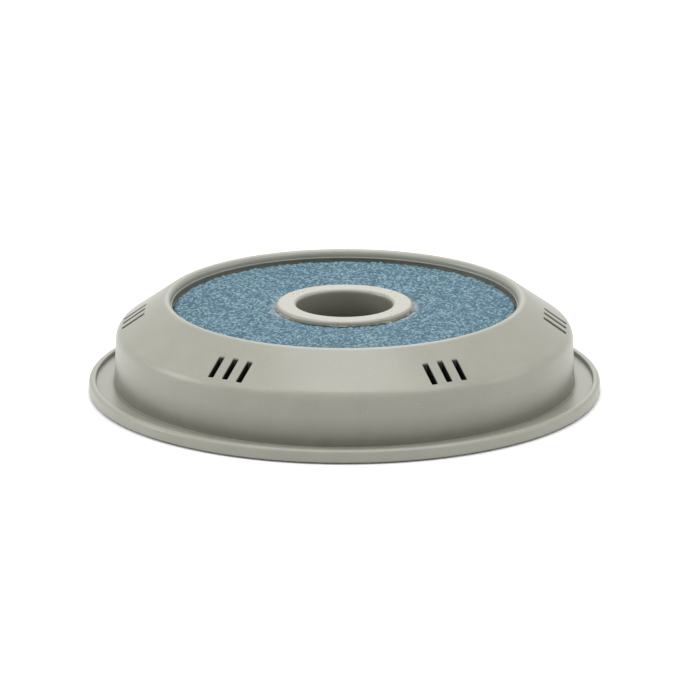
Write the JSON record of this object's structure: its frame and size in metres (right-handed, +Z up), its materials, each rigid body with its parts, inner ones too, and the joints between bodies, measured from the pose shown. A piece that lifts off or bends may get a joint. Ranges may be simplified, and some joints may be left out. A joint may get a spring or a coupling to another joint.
{
  "type": "air stone",
  "caption": "Weighted round air stone for a pond, with a porous ring set in a slotted moulded housing, a centre hole and a barbed hose tail.",
  "frame": {"origin": "centre of the hole through the middle, at the plane that the foot stands on", "axes": "+Z up along the centre hole; +Y towards the hose tail, which leaves at the rear; +X to the right seen from the front"},
  "size_m": [0.127, 0.138, 0.0238],
  "materials": {
    "housing_plastic": "fine moulded texture, semi-matt warm grey",
    "sleeve_plastic": "smooth, semi-matt, a shade lighter than the housing",
    "porous_stone": "open bonded grain, blue with pale and dark specks",
    "sealant": "cured milky sealant",
    "seal_rubber": "black, satin",
    "ballast_cement": "cast, rough",
    "screw_steel": "plain stainless",
    "fitting_plastic": "moulded, semi-matt"
  },
  "bodies": {
    "root": {"housing": "housing_plastic", "diffuser_stone": "porous_stone", "air_chamber": "housing_plastic", "outer_seal": "sealant", "inner_seal": "sealant", "centre_sleeve": "sleeve_plastic", "sleeve_nut": "housing_plastic", "sleeve_gasket": "seal_rubber", "ballast_ring": "ballast_cement", "base_plate": "housing_plastic", "base_screws": "screw_steel", "inlet_fitting": "fitting_plastic", "inlet_nut": "fitting_plastic", "inlet_o_ring": "seal_rubber"}
  },
  "joints": []
}
